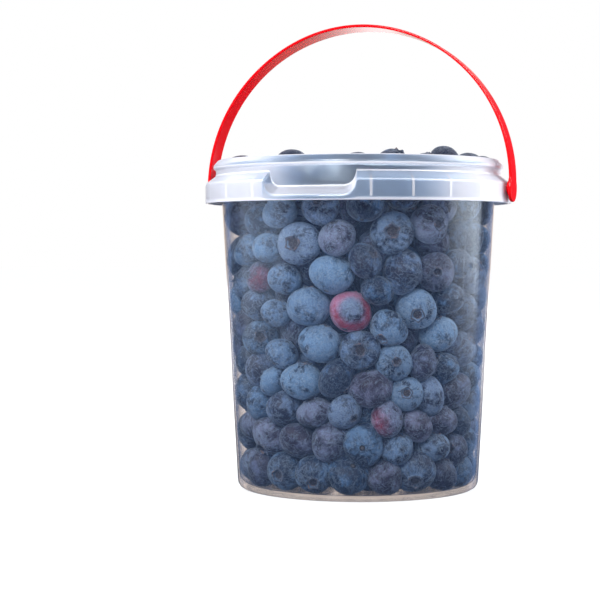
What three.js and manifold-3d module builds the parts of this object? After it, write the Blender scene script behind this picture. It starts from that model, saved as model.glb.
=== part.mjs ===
// A round one-litre plastic pail with a hinged bail handle, open and heaped with blueberries.
// Millimetres, +Z up. The origin is the centre of the base, on the surface that the pail stands
// on. The handle turns about a line along X, and the notch for a lid's tab is in the skirt at -Y.

import * as THREE from 'three';
import { mergeVertices } from 'three/addons/utils/BufferGeometryUtils.js';
import Module from 'manifold-3d';

// Pail: radii are to the outside, heights are above the table.
const BASE_RADIUS = 49.2;           // the side wall's line carried down to the table
const DRAFT = 0.06;                 // radius gained for each millimetre of height
const WALL = 0.9;
const FLOOR = 2.1;                  // height of the inside of the floor
const BASE_FILLET = 3.5;
const FOOT_INNER_RADIUS = 38;       // inside this the underside is raised a little
const FOOT_HEIGHT = 0.9;
const SKIRT_RADIUS = 62.5;
const SKIRT_BOTTOM = 116;
const SHOULDER_LOW = 124;           // where the skirt turns in as the sloping shoulder
const SHOULDER_HIGH = 127.2;        // where the shoulder meets the neck
const SHOULDER_DEPTH = 1.15;        // its thickness, measured upright
const LEDGE_HEIGHT = 127.7;         // inside, where the wall steps out to the wider neck
const LEDGE_RISE = 0.9;
const NECK_RADIUS = 58.2;
const BEAD_RADIUS = 59.2;           // the rolled lip that a lid snaps over
const BEAD_UNDER = 129.3;
const BEAD_LOW = 130.1;
const BEAD_HIGH = 131.3;
const PAIL_HEIGHT = 133.6;
const RIM_RADIUS = 57.3;
const RIM_WIDTH = 1.5;
const NOTCH_DEPTH = 5.8;            // how far the shoulder steps down in the notch
const NOTCH_HALF_ANGLE = 18;        // degrees
const AROUND = 72;                  // facets in a full turn

// Upright webs that stiffen the skirt, in the hollow between it and the wall.
const WEB_PITCH = 15;               // degrees
const WEB_THICKNESS = 1.2;
const WEB_BOTTOM = 117.3;
const WEB_BITE = 0.4;               // how far a web runs into the walls it joins
const PIVOT_CLEAR_ANGLE = 10;       // no web within this many degrees of a pivot

// Bail handle: one flexible moulded strip whose pins sit in holes in the skirt.
const PIVOT_HEIGHT = 121.8;
const HANDLE_RADIUS = 64.6;         // to the middle of the strip
const HANDLE_THICKNESS = 1.2;
const HANDLE_WIDTH = 9;
const GRIP_WIDTH = 12;              // the strip is wider at the top, where it is held
const GRIP_HALF_ANGLE = 45;         // degrees of arc over which it widens, each side of the top
const LEG_LENGTH = 2;               // straight stretch from the pivot up to the arc
const HANDLE_LEAN = 3;              // degrees that the raised handle leans towards +Y
const EYE_RADIUS = 5.6;             // the rounded end of each leg
const COLLAR_RADIUS = 3;
const COLLAR_REACH = 62.8;          // the collar's inner face, just clear of the skirt
const PIN_RADIUS = 1.75;
const PIN_REACH = 59.2;             // the pin's inner end, inside the skirt
const PIN_CLEARANCE = 0.3;

// Berries: a heap of flattened balls of uneven size.
const BERRY_WIDTH = 15.6;
const BERRY_FLATNESS = 0.82;        // height of a berry over its width
const BERRY_SPREAD = 0.12;          // how far sizes stray either way, as a share
const BERRY_GAP = 0.9;              // between a berry's widest point and the wall beside it
const BERRY_SHOWING = 2.2;          // how far a berry at the wall stands out of the heap's core
const ROW_PITCH = 13.3;
const ROWS = 8;
const HEAP_CROWN = 134;             // height of the topmost berry's centre
const HEAP_FALL = 6;                // how much lower the berries beside the rim lie
const HEAP_RINGS = [0, 15.5, 30.5, 45.5];

const wasm = await Module();
wasm.setup();

const radians = THREE.MathUtils.degToRad;

function toSolid(geometry) {
  const bare = geometry.clone();
  bare.deleteAttribute('normal');
  bare.deleteAttribute('uv');
  const merged = mergeVertices(bare, 1e-4);
  return new wasm.Manifold(new wasm.Mesh({
    numProp: 3,
    vertProperties: new Float32Array(merged.attributes.position.array),
    triVerts: new Uint32Array(merged.index.array),
  }));
}

function toGeometry(solid) {
  const mesh = solid.getMesh();
  const geometry = new THREE.BufferGeometry();
  geometry.setAttribute('position', new THREE.BufferAttribute(mesh.vertProperties, 3));
  geometry.setIndex(new THREE.BufferAttribute(mesh.triVerts, 1));
  return geometry;
}

// The same number between 0 and 1 for the same seed, so the heap is uneven but repeatable.
function stray(seed) {
  const wave = Math.sin(seed * 12.9898 + 4.1414) * 43758.5453;
  return wave - Math.floor(wave);
}

const wallOutside = (height) => BASE_RADIUS + DRAFT * height;
const wallInside = (height) => wallOutside(height) - WALL;
const shoulderAt = (radius) =>
  SHOULDER_LOW + (SHOULDER_HIGH - SHOULDER_LOW) * (SKIRT_RADIUS - radius) / (SKIRT_RADIUS - NECK_RADIUS);
const underShoulderAt = (radius) => shoulderAt(radius) - SHOULDER_DEPTH;

// The top of the hollow between the wall and the skirt, against the wall.
const hollowTop = { radius: wallOutside(SHOULDER_LOW - NOTCH_DEPTH) };
hollowTop.height = underShoulderAt(wallOutside(SHOULDER_HIGH));

// Half of the pail's cross-section, from the middle of the underside out, up, over the rim and
// down the inside. A point marked as notched moves down with the shoulder in the notch.
function pailSection() {
  const outline = [];
  const add = (radius, height, notched = false) => outline.push({ radius, height, notched });
  const filletCentre = wallOutside(BASE_FILLET) - BASE_FILLET;
  const skirtInside = SKIRT_RADIUS - WALL;

  add(0, FOOT_HEIGHT);
  add(FOOT_INNER_RADIUS - FOOT_HEIGHT, FOOT_HEIGHT);
  add(FOOT_INNER_RADIUS, 0);
  for (const turn of [0, 30, 60, 90]) {
    add(filletCentre + BASE_FILLET * Math.sin(radians(turn)), BASE_FILLET * (1 - Math.cos(radians(turn))));
  }
  add(hollowTop.radius, hollowTop.height, true);
  add(skirtInside, underShoulderAt(skirtInside), true);
  add(skirtInside, SKIRT_BOTTOM);
  add(SKIRT_RADIUS, SKIRT_BOTTOM);
  add(SKIRT_RADIUS, SHOULDER_LOW, true);
  add(NECK_RADIUS, SHOULDER_HIGH, true);
  add(NECK_RADIUS, BEAD_UNDER);
  add(BEAD_RADIUS, BEAD_LOW);
  add(BEAD_RADIUS, BEAD_HIGH);
  add(RIM_RADIUS, PAIL_HEIGHT);
  add(RIM_RADIUS - RIM_WIDTH, PAIL_HEIGHT);
  add(NECK_RADIUS - WALL, LEDGE_HEIGHT + LEDGE_RISE, true);
  add(wallInside(LEDGE_HEIGHT - NOTCH_DEPTH), LEDGE_HEIGHT, true);
  add(wallInside(FLOOR + BASE_FILLET), FLOOR + BASE_FILLET);
  add(wallInside(FLOOR) - BASE_FILLET, FLOOR);
  add(0, FLOOR);
  return outline;
}

// The section turned about Z, starting at -Y, with the shoulder lowered across the notch.
function pailShell() {
  const section = pailSection();
  const points = section.map((point) => new THREE.Vector2(point.radius, point.height));
  const shell = new THREE.LatheGeometry(points, AROUND);
  shell.rotateX(Math.PI / 2);
  const position = shell.attributes.position;
  for (let step = 0; step <= AROUND; step += 1) {
    const angle = 360 * step / AROUND;
    if (Math.min(angle, 360 - angle) > NOTCH_HALF_ANGLE) continue;
    section.forEach((point, index) => {
      const vertex = step * section.length + index;
      if (point.notched) position.setZ(vertex, point.height - NOTCH_DEPTH);
    });
  }
  return toSolid(shell);
}

// A web: the hollow's own cross-section, given a thickness and turned to its angle from -Y.
function web(angle) {
  const inner = wallOutside(SKIRT_BOTTOM) - WEB_BITE;
  const outer = SKIRT_RADIUS - WALL + WEB_BITE;
  const shape = new THREE.Shape();
  shape.moveTo(inner, WEB_BOTTOM);
  shape.lineTo(outer, WEB_BOTTOM);
  shape.lineTo(outer, underShoulderAt(outer) + WEB_BITE);
  shape.lineTo(hollowTop.radius, hollowTop.height + WEB_BITE);
  shape.lineTo(inner, hollowTop.height);
  const plate = new THREE.ExtrudeGeometry(shape, { depth: WEB_THICKNESS, bevelEnabled: false });
  plate.translate(0, 0, -WEB_THICKNESS / 2);
  plate.rotateX(Math.PI / 2);
  plate.rotateZ(radians(angle - 90));
  return toSolid(plate);
}

function webAngles() {
  const angles = [];
  for (let angle = WEB_PITCH / 2; angle < 360; angle += WEB_PITCH) {
    const fromNotch = Math.min(angle, 360 - angle);
    const fromPivot = Math.abs(90 - (angle % 180));
    if (fromNotch > NOTCH_HALF_ANGLE && fromPivot > PIVOT_CLEAR_ANGLE) angles.push(angle);
  }
  return angles;
}

// A cylinder lying along X from one distance to another, on the hinge line.
function rodAlongX(radius, from, to) {
  const rod = new THREE.CylinderGeometry(radius, radius, Math.abs(to - from), 20);
  rod.rotateZ(Math.PI / 2);
  rod.translate((from + to) / 2, 0, 0);
  return toSolid(rod);
}

function pailGeometry() {
  let pail = pailShell();
  for (const angle of webAngles()) pail = pail.add(web(angle));
  for (const side of [1, -1]) {
    const hole = rodAlongX(PIN_RADIUS + PIN_CLEARANCE, side * (PIN_REACH - 1), side * (SKIRT_RADIUS + 2));
    pail = pail.subtract(hole.translate([0, 0, PIVOT_HEIGHT]));
  }
  return toGeometry(pail);
}

// The strip: an arch outline in the XZ plane drawn out along Y, then widened towards the top.
function handleStrip() {
  const outer = HANDLE_RADIUS + HANDLE_THICKNESS / 2;
  const inner = HANDLE_RADIUS - HANDLE_THICKNESS / 2;
  const arch = new THREE.Shape();
  arch.moveTo(outer, 0);
  arch.lineTo(outer, LEG_LENGTH);
  arch.absarc(0, LEG_LENGTH, outer, 0, Math.PI, false);
  arch.lineTo(-outer, 0);
  arch.lineTo(-inner, 0);
  arch.lineTo(-inner, LEG_LENGTH);
  arch.absarc(0, LEG_LENGTH, inner, Math.PI, 0, true);
  arch.lineTo(inner, 0);
  const strip = new THREE.ExtrudeGeometry(arch, { depth: 2, curveSegments: 24, bevelEnabled: false });
  strip.translate(0, 0, -1);
  strip.rotateX(Math.PI / 2);
  const position = strip.attributes.position;
  for (let vertex = 0; vertex < position.count; vertex += 1) {
    const across = Math.abs(position.getX(vertex));
    const up = position.getZ(vertex) - LEG_LENGTH;
    const fromTop = 90 - THREE.MathUtils.radToDeg(Math.atan2(up, across));
    const share = 1 - THREE.MathUtils.smoothstep(fromTop, 0, GRIP_HALF_ANGLE);
    const width = THREE.MathUtils.lerp(HANDLE_WIDTH, GRIP_WIDTH, share);
    position.setY(vertex, position.getY(vertex) * width / 2);
  }
  return toSolid(strip);
}

function handleGeometry() {
  let handle = handleStrip();
  const outer = HANDLE_RADIUS + HANDLE_THICKNESS / 2;
  const inner = HANDLE_RADIUS - HANDLE_THICKNESS / 2;
  for (const side of [1, -1]) {
    handle = handle.add(rodAlongX(EYE_RADIUS, side * inner, side * outer));
    handle = handle.add(rodAlongX(COLLAR_RADIUS, side * COLLAR_REACH, side * HANDLE_RADIUS));
    handle = handle.add(rodAlongX(PIN_RADIUS, side * PIN_REACH, side * HANDLE_RADIUS));
  }
  return toGeometry(handle);
}

// One berry with its own size and tilt, from a ball of radius 1.
function berry(ball, x, y, height, seed) {
  const width = BERRY_WIDTH * (1 + BERRY_SPREAD * (2 * stray(seed) - 1));
  ball.scale(width / 2, BERRY_FLATNESS * width / 2, width / 2);
  ball.rotateX(Math.PI / 2 + 0.5 * (stray(seed + 0.3) - 0.5));
  ball.rotateZ(2 * Math.PI * stray(seed + 0.6));
  ball.translate(x, y, height);
  return toSolid(ball);
}

// Rows of berries against the wall, each row turned half a berry from the one below.
function wallBerries() {
  const berries = [];
  for (let row = 0; row < ROWS; row += 1) {
    const height = FLOOR + BERRY_WIDTH / 2 + row * ROW_PITCH;
    const ring = wallInside(height) - BERRY_GAP - BERRY_WIDTH * (1 + BERRY_SPREAD) / 2;
    const count = Math.floor(2 * Math.PI * ring / BERRY_WIDTH);
    for (let place = 0; place < count; place += 1) {
      const seed = 50 * row + place;
      const angle = 2 * Math.PI * (place + (row % 2) / 2 + 0.2 * stray(seed + 0.8)) / count;
      const ball = new THREE.IcosahedronGeometry(1);
      berries.push(berry(ball, ring * Math.cos(angle), ring * Math.sin(angle), height, seed));
    }
  }
  return berries;
}

// Rings of berries over the top, falling away from the crown to the rim.
function crownBerries() {
  const berries = [];
  const widest = HEAP_RINGS[HEAP_RINGS.length - 1];
  HEAP_RINGS.forEach((ring, level) => {
    const count = Math.max(1, Math.floor(2 * Math.PI * ring / BERRY_WIDTH));
    for (let place = 0; place < count; place += 1) {
      const seed = 1000 + 50 * level + place;
      const angle = 2 * Math.PI * (place + 0.3 * stray(seed + 0.8)) / count;
      const fall = HEAP_FALL * (ring / widest) ** 2 + 2.5 * stray(seed + 0.9);
      const ball = new THREE.OctahedronGeometry(1, 1);
      berries.push(berry(ball, ring * Math.cos(angle), ring * Math.sin(angle), HEAP_CROWN - fall, seed));
    }
  });
  return berries;
}

// The heap is one body: a plain core with the outer berries standing out of it.
function berriesGeometry() {
  const coreBottom = FLOOR + BERRY_SHOWING;
  const coreTop = HEAP_CROWN - HEAP_FALL - BERRY_SHOWING;
  const inset = BERRY_GAP + BERRY_SHOWING;
  const core = new THREE.LatheGeometry([
    new THREE.Vector2(0, coreBottom),
    new THREE.Vector2(wallInside(coreBottom) - inset - BASE_FILLET, coreBottom),
    new THREE.Vector2(wallInside(coreBottom + BASE_FILLET) - inset, coreBottom + BASE_FILLET),
    new THREE.Vector2(wallInside(coreTop) - inset, coreTop),
    new THREE.Vector2(0, HEAP_CROWN - BERRY_SHOWING),
  ], 36);
  core.rotateX(Math.PI / 2);
  let heap = toSolid(core);
  for (const ball of [...wallBerries(), ...crownBerries()]) heap = heap.add(ball);
  return toGeometry(heap);
}

function namedMesh(name, geometry, material) {
  const mesh = new THREE.Mesh(geometry, material);
  mesh.name = name;
  return mesh;
}

const frostedPlastic = new THREE.MeshStandardMaterial({
  color: 0xdde3ee, roughness: 0.25, metalness: 0, transparent: true, opacity: 0.45,
});
const redPlastic = new THREE.MeshStandardMaterial({ color: 0xe01018, roughness: 0.3, metalness: 0 });
const berrySkin = new THREE.MeshStandardMaterial({ color: 0x43577f, roughness: 0.7, metalness: 0 });

const handle = namedMesh('handle', handleGeometry(), redPlastic);
handle.position.z = PIVOT_HEIGHT;
handle.rotation.x = -radians(HANDLE_LEAN);

const group = new THREE.Group();
group.add(
  namedMesh('pail', pailGeometry(), frostedPlastic),
  handle,
  namedMesh('berries', berriesGeometry(), berrySkin),
);

export default group;
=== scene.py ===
# %% [markdown]
# # A pail of blueberries
#
# A round one-litre pail of thin, clear, slightly milky plastic, with a red bail handle, open and
# heaped with blueberries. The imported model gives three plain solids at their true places: `pail`,
# `handle` and `berries`. Each one is replaced here by a finely made piece in the same place. Sizes
# are in millimetres times MM, because Blender works in metres.

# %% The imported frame
from math import cos, hypot, pi, radians, sin, sqrt, tan

import bmesh
import bpy
import numpy as np
from mathutils import Matrix, Vector


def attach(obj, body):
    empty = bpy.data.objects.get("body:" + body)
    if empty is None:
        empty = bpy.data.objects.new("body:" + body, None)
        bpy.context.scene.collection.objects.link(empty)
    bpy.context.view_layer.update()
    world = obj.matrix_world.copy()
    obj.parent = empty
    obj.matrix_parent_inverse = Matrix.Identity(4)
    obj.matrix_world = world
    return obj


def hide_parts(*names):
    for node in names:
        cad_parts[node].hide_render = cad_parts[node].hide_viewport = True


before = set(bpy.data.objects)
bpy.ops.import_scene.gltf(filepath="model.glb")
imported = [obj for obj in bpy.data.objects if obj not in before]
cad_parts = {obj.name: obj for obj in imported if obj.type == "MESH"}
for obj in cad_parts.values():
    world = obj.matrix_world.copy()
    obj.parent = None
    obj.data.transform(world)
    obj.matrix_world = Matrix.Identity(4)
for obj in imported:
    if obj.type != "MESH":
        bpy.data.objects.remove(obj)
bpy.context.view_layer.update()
MM = 0.001

# %% [markdown]
# ## The camera
#
# The pail is seen from a little below its rim, 18 degrees to the right of the notch in its skirt.
# A long lens from 700 mm away keeps the upright lines nearly parallel. The camera is turned a
# little to the left, so the pail stands right of the middle and its handle fits in the frame.

# %% Camera
CAMERA_AROUND = radians(18)
CAMERA_DISTANCE = 700 * MM
CAMERA_HEIGHT = 96.9 * MM
CAMERA_DOWN = 0.029
CAMERA_LEFT = 0.034
FOCAL_LENGTH = 102.1
SENSOR = 36

bpy.ops.object.camera_add(
    location=(CAMERA_DISTANCE * sin(CAMERA_AROUND), -CAMERA_DISTANCE * cos(CAMERA_AROUND),
              CAMERA_HEIGHT),
    rotation=(pi / 2 - CAMERA_DOWN, 0, CAMERA_AROUND + CAMERA_LEFT),
)
camera = bpy.context.object
camera.data.lens = FOCAL_LENGTH
camera.data.sensor_width = SENSOR
bpy.context.scene.camera = camera
FRONT = Vector((sin(CAMERA_AROUND), -cos(CAMERA_AROUND), 0))
RIGHT = Vector((0, 0, 1)).cross(FRONT)
print("camera at", [round(value, 3) for value in camera.location])

# %% [markdown]
# ## Small helpers
#
# An operator acts on everything that is selected, so each step starts by choosing exactly what it
# works on. `start` deselects all objects, and `pick` selects points in edit mode by a test on
# their place, or faces by a test on their middle. `mark` writes a number on points, which a finish
# reads later.

# %% Helpers for modelling
SMOOTH_ANGLE, BEVEL_ANGLE = radians(35), radians(50)
MERGE_GAP = 0.02 * MM


def start(piece=None):
    """Leaves edit mode and deselects all, then selects the piece alone if there is one."""
    if bpy.context.object and bpy.context.object.mode != "OBJECT":
        bpy.ops.object.mode_set(mode="OBJECT")
    bpy.ops.object.select_all(action="DESELECT")
    if piece:
        piece.select_set(True)
        bpy.context.view_layer.objects.active = piece


def edit(piece):
    start(piece)
    bpy.ops.object.mode_set(mode="EDIT")


def pick(piece, test, faces=False):
    """In edit mode, selects the points or faces that pass the test, and says how many."""
    bpy.ops.mesh.select_mode(type="FACE" if faces else "VERT")
    mesh = bmesh.from_edit_mesh(piece.data)
    parts = mesh.faces if faces else mesh.verts
    for part in parts:
        part.select = bool(test(part.calc_center_median() if faces else part.co))
    mesh.select_flush_mode()
    bmesh.update_edit_mesh(piece.data)
    return sum(part.select for part in parts)


def mark(piece, name, value, test):
    """In edit mode, writes a number on the points whose place passes the test."""
    mesh = bmesh.from_edit_mesh(piece.data)
    layer = mesh.verts.layers.float.get(name) or mesh.verts.layers.float.new(name)
    for point in mesh.verts:
        if test(point.co):
            point[layer] = value
    bmesh.update_edit_mesh(piece.data)


def close_up(piece):
    """Merges points that lie together and turns all faces outwards."""
    edit(piece)
    bpy.ops.mesh.select_all(action="SELECT")
    bpy.ops.mesh.remove_doubles(threshold=MERGE_GAP)
    bpy.ops.mesh.normals_make_consistent(inside=False)
    start(piece)


def modify(piece, kind, **settings):
    """Adds a modifier and applies it at once."""
    start(piece)
    modifier = piece.modifiers.new(kind.lower(), kind)
    for setting, value in settings.items():
        setattr(modifier, setting, value)
    bpy.ops.object.modifier_apply(modifier=modifier.name)


def combine(piece, operation, tool):
    """Joins the tool to the piece or cuts it away, then deletes it."""
    modify(piece, "BOOLEAN", operation=operation, object=tool, solver="EXACT")
    bpy.data.objects.remove(tool)


def round_edges(piece, width):
    """Rounds the sharp edges off, this many millimetres wide."""
    modify(piece, "BEVEL", width=width * MM, segments=3, limit_method="ANGLE",
           angle_limit=BEVEL_ANGLE)


def shade_smooth(piece):
    """Shades the piece smooth, but for its sharp edges."""
    start(piece)
    bpy.ops.object.shade_smooth_by_angle(angle=SMOOTH_ANGLE)


def join(pieces, name):
    start(pieces[0])
    for piece in pieces:
        piece.select_set(True)
    bpy.ops.object.join()
    pieces[0].name = pieces[0].data.name = name
    return pieces[0]


def settle(piece):
    """Puts the object's place, turn and size into its mesh."""
    start(piece)
    bpy.ops.object.transform_apply(location=True, rotation=True, scale=True)
    return piece


def bar(radius, middle, length, side, height, sides):
    """A round bar along X, its middle this far to one side of the pail's axis."""
    start()
    bpy.ops.mesh.primitive_cylinder_add(
        vertices=sides, radius=radius * MM, depth=length * MM,
        rotation=(0, pi / 2, 0), location=(side * middle * MM, 0, height * MM),
    )
    return settle(bpy.context.object)


def report(piece):
    """Prints a piece's triangles, its open edges and its size in millimetres."""
    mesh = bmesh.new()
    mesh.from_mesh(piece.data)
    open_edges = sum(len(edge.link_faces) != 2 for edge in mesh.edges)
    triangles = sum(len(face.verts) - 2 for face in mesh.faces)
    places = np.array([point.co for point in mesh.verts]) / MM
    size = (places.max(0) - places.min(0)).round(1).tolist()
    print(f"{piece.name}: {triangles} triangles, {open_edges} open edges, size {size}")
    mesh.free()


# %% [markdown]
# ## Shader sums
#
# A node tree is easier to read as sums. `Wire` is one output socket of a tree. Adding or
# multiplying wires puts in Math nodes, and `node` puts in any other node. The nodes that are used
# most have short names: soft noise, a bump, and a number that the mesh carries on its points.

# %% Wires
class Wire:
    def __init__(self, tree, socket=None):
        self.tree, self.socket = tree, socket

    def node(self, kind, settings=None, inputs=None, output=0):
        """Adds a node: its settings first, then the values or wires of its inputs."""
        made = self.tree.nodes.new("ShaderNode" + kind)
        for name, value in (settings or {}).items():
            setattr(made, name, value)
        for name, value in (inputs or {}).items():
            if isinstance(value, Wire):
                self.tree.links.new(value.socket, made.inputs[name])
            else:
                made.inputs[name].default_value = value
        return Wire(self.tree, made.outputs[output])

    def maths(self, operation, *values):
        return self.node("Math", {"operation": operation}, dict(enumerate(values)))

    def __add__(self, other):
        return self.maths("ADD", self, other)

    def __mul__(self, other):
        return self.maths("MULTIPLY", self, other)

    def __sub__(self, other):
        return self.maths("SUBTRACT", self, other)

    def __rsub__(self, other):
        return self.maths("SUBTRACT", other, self)

    def __rtruediv__(self, other):
        return self.maths("DIVIDE", other, self)

    __radd__, __rmul__ = __add__, __mul__

    def __abs__(self):
        return self.maths("ABSOLUTE", self)

    def most(self, other):
        return self.maths("MAXIMUM", self, other)

    def least(self, other):
        return self.maths("MINIMUM", self, other)

    def step(self, low, high):
        """0 below low, 1 above high, and smooth in between."""
        settings = {"interpolation_type": "SMOOTHSTEP"}
        return self.node("MapRange", settings, {"Value": self, "From Min": low, "From Max": high})

    def mix(self, low, high):
        """A colour between two others, each a value or a wire, by this share."""
        inputs = {0: self, 6: low, 7: high}
        return self.node("Mix", {"data_type": "RGBA"}, inputs, output=2)

    def parts(self):
        """The three parts of a place, each on its own."""
        return [self.node("SeparateXYZ", inputs={0: self}, output=part) for part in range(3)]

    def noise(self, scale, detail=2, roughness=0.5, distortion=0):
        """Soft noise from 0 to 1, read at this place."""
        return self.node("TexNoise", inputs={
            "Vector": self, "Scale": scale, "Detail": detail, "Roughness": roughness,
            "Distortion": distortion,
        })

    def bump(self, strength, depth):
        """The normal of a surface with this height on it, at most this many millimetres deep."""
        inputs = {"Height": self, "Strength": strength, "Distance": depth * MM}
        return self.node("Bump", inputs=inputs)

    def number(self, name):
        """A number that the mesh carries on its points."""
        return self.node("Attribute", {"attribute_name": name}, output=2)


def new_material(name):
    """A material with nothing in it, and a wire to start from."""
    material = bpy.data.materials.new(name)
    material.use_nodes = True
    material.node_tree.nodes.clear()
    return material, Wire(material.node_tree)


def show(material, shader):
    output = material.node_tree.nodes.new("ShaderNodeOutputMaterial")
    material.node_tree.links.new(shader.socket, output.inputs["Surface"])


def dress(piece, material):
    """Gives the piece its material, and prints how many nodes the material has."""
    piece.data.materials.clear()
    piece.data.materials.append(material)
    print(f"{piece.name} wears {material.name}, of {len(material.node_tree.nodes)} nodes")


# %% [markdown]
# ## The pail
#
# The real pail is moulded in one piece: a thin tapered wall on a foot ring, a sloping shoulder
# with a skirt hanging from it, a neck and a rolled lip. All of it but the notch and the webs is
# round, so half of its cross-section is drawn and spun about the upright axis. A cylinder scaled
# ring by ring would do too, but a drawn section keeps every thickness exact. Corners in a moulded
# part are rounded, so each corner is given as a point and the length that its rounding takes off
# each side.

# %% Sizes of the pail
BASE_RADIUS = 49.2
DRAFT = 0.06
WALL = 0.9
FLOOR = 2.1
FOOT_INNER_RADIUS = 38
FOOT_HEIGHT = 0.9
SKIRT_RADIUS = 62.5
SKIRT_BOTTOM = 116
SHOULDER_LOW, SHOULDER_HIGH = 124, 127.2
SHOULDER_DEPTH = 1.15
NECK_RADIUS, NECK_TOP = 58.2, 129.3
BEAD_RADIUS, BEAD_LOW, BEAD_HIGH = 59.2, 130.1, 131.3
RIM_RADIUS, RIM_WIDTH = 57.3, 1.5
PAIL_HEIGHT = 133.6
LEDGE = 127.7
NOTCH_DEPTH = 5.8


def wall_outside(height):
    return BASE_RADIUS + DRAFT * height


def wall_inside(height):
    return wall_outside(height) - WALL


def under_shoulder(radius):
    slope = (SHOULDER_HIGH - SHOULDER_LOW) / (SKIRT_RADIUS - NECK_RADIUS)
    return SHOULDER_LOW + slope * (SKIRT_RADIUS - radius) - SHOULDER_DEPTH


HOLLOW_RADIUS = wall_outside(SHOULDER_LOW - NOTCH_DEPTH)
HOLLOW_TOP = under_shoulder(wall_outside(SHOULDER_HIGH))

# Radius, height and rounding of each corner, from under the middle of the base round to inside it.
PAIL_CORNERS = [
    (0, FOOT_HEIGHT, 0),
    (FOOT_INNER_RADIUS - FOOT_HEIGHT, FOOT_HEIGHT, 0.6),
    (FOOT_INNER_RADIUS, 0, 0.4),
    (BASE_RADIUS, 0, 3.3),
    (HOLLOW_RADIUS, HOLLOW_TOP, 0.4),
    (SKIRT_RADIUS - WALL, under_shoulder(SKIRT_RADIUS - WALL), 0.6),
    (SKIRT_RADIUS - WALL, SKIRT_BOTTOM, 0.35),
    (SKIRT_RADIUS, SKIRT_BOTTOM, 0.35),
    (SKIRT_RADIUS, SHOULDER_LOW, 1.1),
    (NECK_RADIUS, SHOULDER_HIGH, 0.7),
    (NECK_RADIUS, NECK_TOP, 0.5),
    (BEAD_RADIUS, BEAD_LOW, 0.45),
    (BEAD_RADIUS, BEAD_HIGH, 0.6),
    (RIM_RADIUS, PAIL_HEIGHT, 0.5),
    (RIM_RADIUS - RIM_WIDTH, PAIL_HEIGHT, 0.6),
    (NECK_RADIUS - WALL, LEDGE + WALL, 0.4),
    (wall_inside(LEDGE - NOTCH_DEPTH), LEDGE, 0.4),
    (wall_inside(FLOOR), FLOOR, 4),
    (0, FLOOR, 0),
]
ROUNDING_STEPS = 4


def rounded(corners):
    """The corners' line, with each rounded one as a short curve."""
    line = []
    for index, (radius, height, rounding) in enumerate(corners):
        corner = Vector((radius, height))
        if not rounding:
            line.append(corner)
            continue
        before, after = (Vector(corners[index + side][:2]) for side in (-1, 1))
        first = corner + (before - corner).normalized() * rounding
        last = corner + (after - corner).normalized() * rounding
        for step in range(ROUNDING_STEPS + 1):
            share = step / ROUNDING_STEPS
            line.append(first.lerp(corner, share).lerp(corner.lerp(last, share), share))
    return line


pail_line = rounded(PAIL_CORNERS)
print("the pail's section has", len(pail_line), "points")

# %% [markdown]
# The section is drawn as by hand: one point is extruded again and again along the line. It is
# spun in two sweeps. The first, across the notch, has finer steps, so that the notch's rounded
# corners have points to bend.
#
# Before the spin, points of the section are marked for the finish. `corner` marks the outer
# corners, where light that runs inside the plastic comes out as a pale line, most of all at the
# bead under the lip; the finish paints these lines in as painted highlights. `tilt` marks the
# slopes of the shoulder and the lip. They are seen at a slant from anywhere in front, and the
# finish must not take them for the pail's sides.

# %% Spinning the pail
NOTCH_SIDE = radians(-90)
FINE_SWEEP = radians(60)
FINE_STEPS, PLAIN_STEPS = 120, 180
GLOWING_CORNERS = [
    (SKIRT_RADIUS, SHOULDER_LOW), (NECK_RADIUS, SHOULDER_HIGH), (SKIRT_RADIUS, SKIRT_BOTTOM),
    (BEAD_RADIUS, BEAD_LOW),
]
CORNER_REACH = 0.5
CORNER_GLOW, BEAD_GLOW = 1, 1.7
SHOULDER_TILT, LIP_TILT = 0.38, 0.26


def drawn_line(name, line, around):
    """A chain of points at radius and height, on the upright half-plane at an angle round Z."""
    places = [Vector((point.x * cos(around), point.x * sin(around), point.y)) * MM
              for point in line]
    start()
    bpy.ops.mesh.primitive_plane_add(size=MM, location=places[0])
    piece = bpy.context.object
    piece.name = piece.data.name = name
    settle(piece)
    edit(piece)
    bpy.ops.mesh.select_mode(type="VERT")
    bpy.ops.mesh.select_all(action="SELECT")
    bpy.ops.mesh.merge(type="CENTER")
    for here, there in zip(places, places[1:]):
        bpy.ops.mesh.extrude_region_move(TRANSFORM_OT_translate={"value": there - here})
    bpy.ops.mesh.select_all(action="SELECT")
    return piece


def section_place(place):
    """A point's distance from the axis and its height, in millimetres."""
    return hypot(place.x, place.y) / MM, place.z / MM


def on_corner(place):
    radius, height = section_place(place)
    return any(hypot(radius - corner[0], height - corner[1]) < CORNER_REACH
               for corner in GLOWING_CORNERS)


def on_bead(place):
    return on_corner(place) and place.z > NECK_TOP * MM


def on_shoulder(place):
    radius, height = section_place(place)
    return NECK_RADIUS + 0.3 < radius < SKIRT_RADIUS - 0.3 and height > SHOULDER_LOW + 0.2


def on_lip(place):
    radius, height = section_place(place)
    return radius > RIM_RADIUS + 0.2 and height > BEAD_HIGH + 0.4


pail = drawn_line("pail_body", pail_line, NOTCH_SIDE - FINE_SWEEP / 2)
mark(pail, "corner", CORNER_GLOW, on_corner)
mark(pail, "corner", BEAD_GLOW, on_bead)
mark(pail, "tilt", SHOULDER_TILT, on_shoulder)
mark(pail, "tilt", LIP_TILT, on_lip)
for angle, steps in ((FINE_SWEEP, FINE_STEPS), (2 * pi - FINE_SWEEP, PLAIN_STEPS)):
    bpy.ops.mesh.spin(steps=steps, angle=-angle, center=(0, 0, 0), axis=(0, 0, 1))
close_up(pail)
report(pail)

# %% [markdown]
# At the front the shoulder steps down in a shallow notch, where a lid's tab would lie. Its sides
# drop steeply and round off at the bottom, as a quarter of an ellipse does. A boolean would cut
# a hole there and leave no floor under the notch, so the points of the shoulder are moved down
# instead, column by column, both sides at once.

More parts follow.
